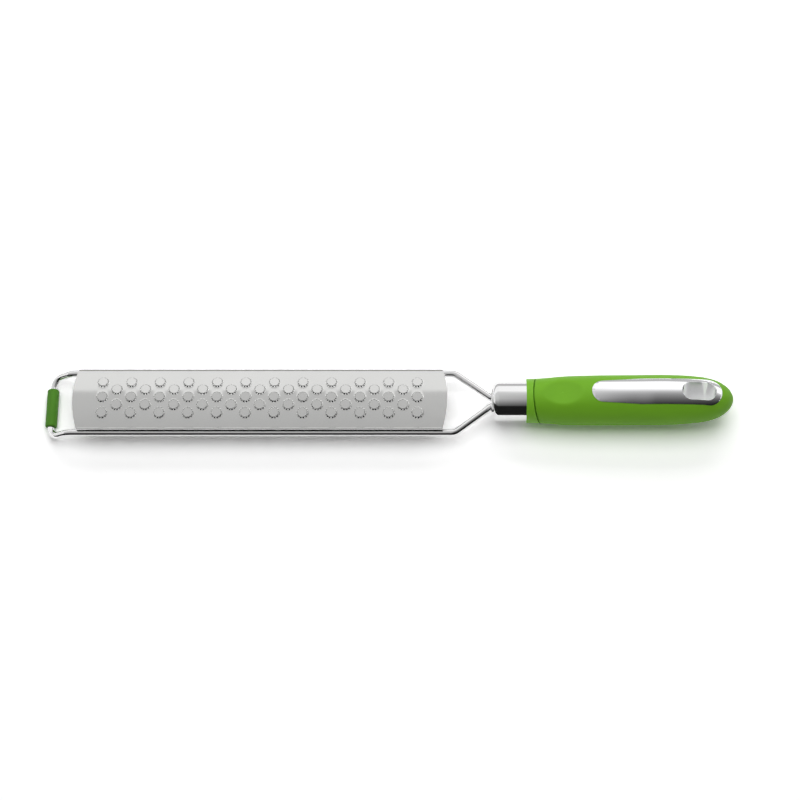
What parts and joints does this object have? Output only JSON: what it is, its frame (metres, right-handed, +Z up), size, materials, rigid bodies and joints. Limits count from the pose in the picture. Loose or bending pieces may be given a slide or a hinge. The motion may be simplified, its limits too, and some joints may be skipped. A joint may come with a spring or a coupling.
{
  "type": "rasp zester",
  "caption": "Hand rasp zester: arched steel blade with raised toothed rings on a bent wire frame, round soft-grip handle with chrome inlay and hanging hole.",
  "frame": {"origin": "middle of the tool's footprint, at the level of the table it lies on", "axes": "+X along the tool from the tip to the handle, +Y across it, +Z up from the table"},
  "size_m": [0.372, 0.0386, 0.0281],
  "materials": {
    "blade_steel": "satin stainless sheet, brushed along the blade",
    "polished_steel": "polished stainless rod and collar",
    "chrome_inlay": "mirror chrome plating on plastic",
    "grip_green": "soft-touch overmould, satin",
    "core_green": "moulded plastic, satin",
    "sleeve_green": "soft tube, satin",
    "clamp_steel": "plain pressed steel, hidden in the handle"
  },
  "bodies": {
    "root": {"blade": "blade_steel", "frame_wire": "polished_steel", "tip_sleeve": "sleeve_green", "ferrule": "polished_steel", "leg_clamp": "clamp_steel", "handle_core": "core_green", "soft_grip": "grip_green", "hang_plate": "chrome_inlay"}
  },
  "joints": []
}
